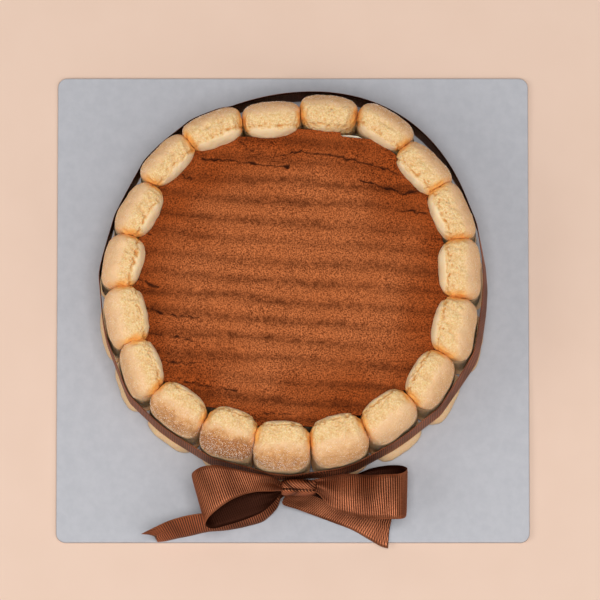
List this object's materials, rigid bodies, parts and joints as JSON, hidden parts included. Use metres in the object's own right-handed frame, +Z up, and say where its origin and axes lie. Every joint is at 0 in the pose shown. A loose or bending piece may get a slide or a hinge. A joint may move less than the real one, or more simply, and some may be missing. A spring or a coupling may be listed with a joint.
{
  "type": "tiramisu cake",
  "caption": "Round tiramisu on a square cake board, ringed by upright halved ladyfingers, dusted with cocoa in combed strokes and tied with a brown ribbon and bow.",
  "frame": {"origin": "centre of the cake board's underside", "axes": "+Z up from the surface it stands on, -Y towards the bow, +X to the right seen from the bow's side"},
  "size_m": [0.254, 0.2575, 0.0588],
  "materials": {
    "board": "coated pale grey board with a faint satin mottle",
    "cream": "smooth soft mascarpone cream",
    "cocoa": "dry sifted cocoa powder in combed strokes",
    "biscuit": "dry porous sponge biscuit with a sugared crust",
    "ribbon": "ribbed grosgrain with a soft satin sheen"
  },
  "bodies": {
    "root": {"cake_board": "board", "mascarpone_cream": "cream", "cocoa_dusting": "cocoa", "ladyfinger_01": "biscuit", "ladyfinger_02": "biscuit", "ladyfinger_03": "biscuit", "ladyfinger_04": "biscuit", "ladyfinger_05": "biscuit", "ladyfinger_06": "biscuit", "ladyfinger_07": "biscuit", "ladyfinger_08": "biscuit", "ladyfinger_09": "biscuit", "ladyfinger_10": "biscuit", "ladyfinger_11": "biscuit", "ladyfinger_12": "biscuit", "ladyfinger_13": "biscuit", "ladyfinger_14": "biscuit", "ladyfinger_15": "biscuit", "ladyfinger_16": "biscuit", "ladyfinger_17": "biscuit", "ladyfinger_18": "biscuit", "ladyfinger_19": "biscuit", "ribbon_band": "ribbon", "bow_knot": "ribbon", "bow_loop_left": "ribbon", "bow_loop_right": "ribbon", "bow_tail_left": "ribbon", "bow_tail_right": "ribbon"}
  },
  "joints": []
}
